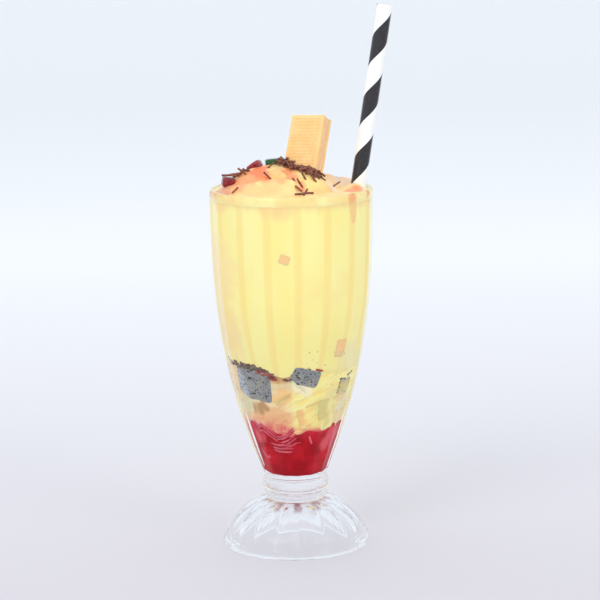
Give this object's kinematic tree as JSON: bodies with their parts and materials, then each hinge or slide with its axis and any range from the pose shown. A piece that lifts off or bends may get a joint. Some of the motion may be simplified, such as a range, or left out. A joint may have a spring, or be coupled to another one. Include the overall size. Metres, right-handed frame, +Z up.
{
  "type": "falooda dessert drink in a soda glass",
  "caption": "Layered mango falooda in a tall footed soda glass with pressed panels, topped with whipped cream, chocolate strands, candied fruit, a wafer and a striped paper straw.",
  "frame": {"origin": "middle of the bounding box's base, on the surface that the foot stands on; the glass's own axis is 5.5 mm to the left of it, because the straw leans out to the right", "axes": "+Z up along the glass's axis, -Y the side that the picture shows, +X to the right in the picture, where the straw leans"},
  "size_m": [0.097, 0.0858, 0.2874],
  "materials": {
    "glass": "clear pressed glass, polished",
    "rose_jelly": "wet red syrup jelly",
    "noodle_cream": "cream and noodles, wet",
    "mango_drink": "smooth milky mango drink",
    "whipped_cream": "soft cream with streaks of syrup",
    "basil_seed": "grey jelly with black seeds",
    "yellow_fruit": "wet cut fruit",
    "green_fruit": "wet cut fruit",
    "peach": "wet cut fruit",
    "candied_cherry": "glossy candied fruit",
    "green_jelly": "glossy candied jelly",
    "wafer_sheet": "baked sheet with a fine pressed grid",
    "wafer_filling": "sugar cream filling",
    "paper_straw": "waxed paper with a black spiral stripe"
  },
  "bodies": {
    "root": {"glass": "glass", "rose_layer": "rose_jelly", "cream_layer": "noodle_cream", "mango_drink": "mango_drink", "cream_top": "whipped_cream", "basil_left": "basil_seed", "basil_middle": "basil_seed", "basil_right": "basil_seed", "fruit_yellow": "yellow_fruit", "fruit_green": "green_fruit", "peach_upper": "peach", "peach_lower": "peach", "cherry_left": "candied_cherry", "cherry_upper": "candied_cherry", "green_jelly": "green_jelly", "wafer_front": "wafer_sheet", "wafer_filling": "wafer_filling", "wafer_back": "wafer_sheet", "straw": "paper_straw"}
  },
  "joints": []
}
